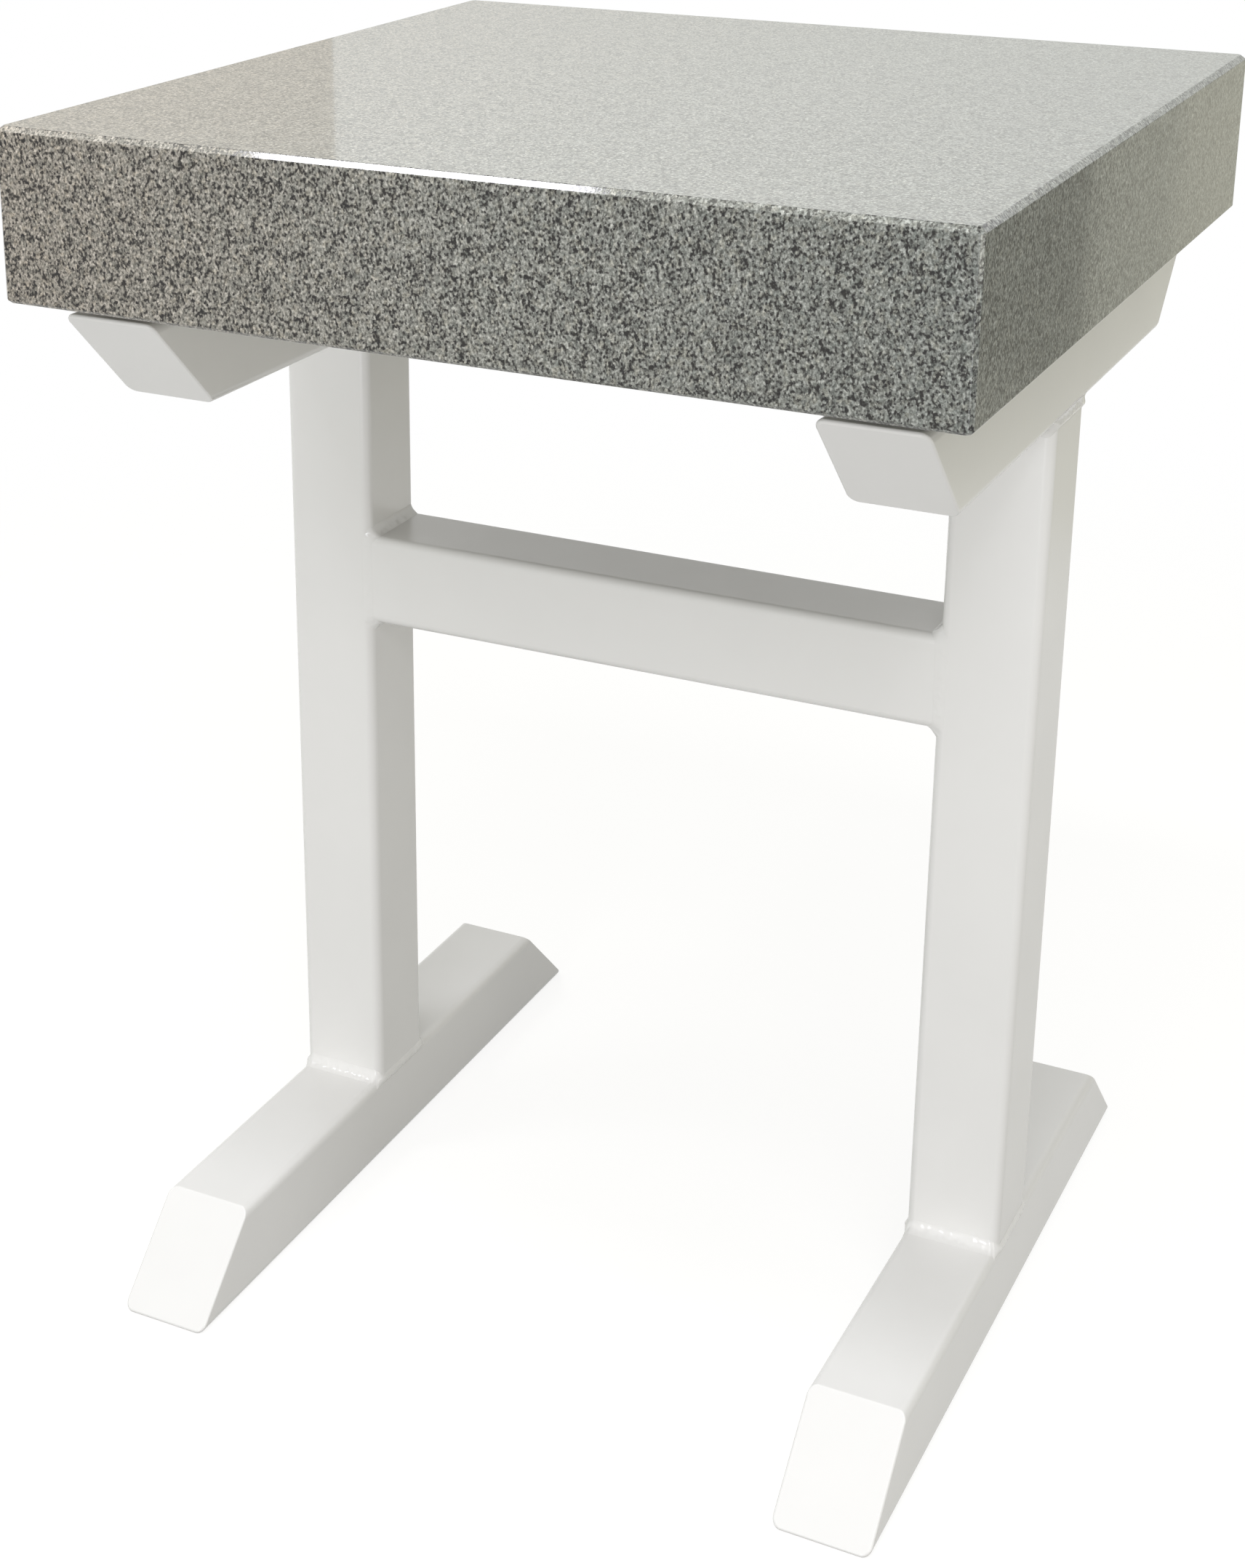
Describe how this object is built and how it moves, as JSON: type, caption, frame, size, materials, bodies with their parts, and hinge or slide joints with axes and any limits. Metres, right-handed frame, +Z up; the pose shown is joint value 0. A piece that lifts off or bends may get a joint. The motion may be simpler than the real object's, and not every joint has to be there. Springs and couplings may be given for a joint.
{
  "type": "weighing balance table",
  "caption": "Low weighing table: a thick square granite slab lies on rubber pads over a white welded square-tube frame of I-shaped sides joined by a stretcher.",
  "frame": {"origin": "on the floor, under the middle of the slab", "axes": "+Z up, +X to the right of someone sitting at the front, the front faces -Y"},
  "size_m": [0.555, 0.555, 0.766],
  "materials": {
    "granite": "polished, grey speckled",
    "powder_coat": "satin off-white powder coat",
    "rubber": "matt black"
  },
  "bodies": {
    "root": {"granite_slab": "granite", "left_front_pad": "rubber", "left_rear_pad": "rubber", "right_front_pad": "rubber", "right_rear_pad": "rubber", "stretcher": "powder_coat", "left_top_beam": "powder_coat", "left_post": "powder_coat", "left_foot": "powder_coat", "right_top_beam": "powder_coat", "right_post": "powder_coat", "right_foot": "powder_coat", "left_front_beam_plate": "powder_coat", "left_front_foot_plate": "powder_coat", "left_rear_beam_plate": "powder_coat", "left_rear_foot_plate": "powder_coat", "right_front_beam_plate": "powder_coat", "right_front_foot_plate": "powder_coat", "right_rear_beam_plate": "powder_coat", "right_rear_foot_plate": "powder_coat", "left_foot_weld": "powder_coat", "left_beam_weld": "powder_coat", "left_stretcher_weld": "powder_coat", "right_foot_weld": "powder_coat", "right_beam_weld": "powder_coat", "right_stretcher_weld": "powder_coat"}
  },
  "joints": []
}
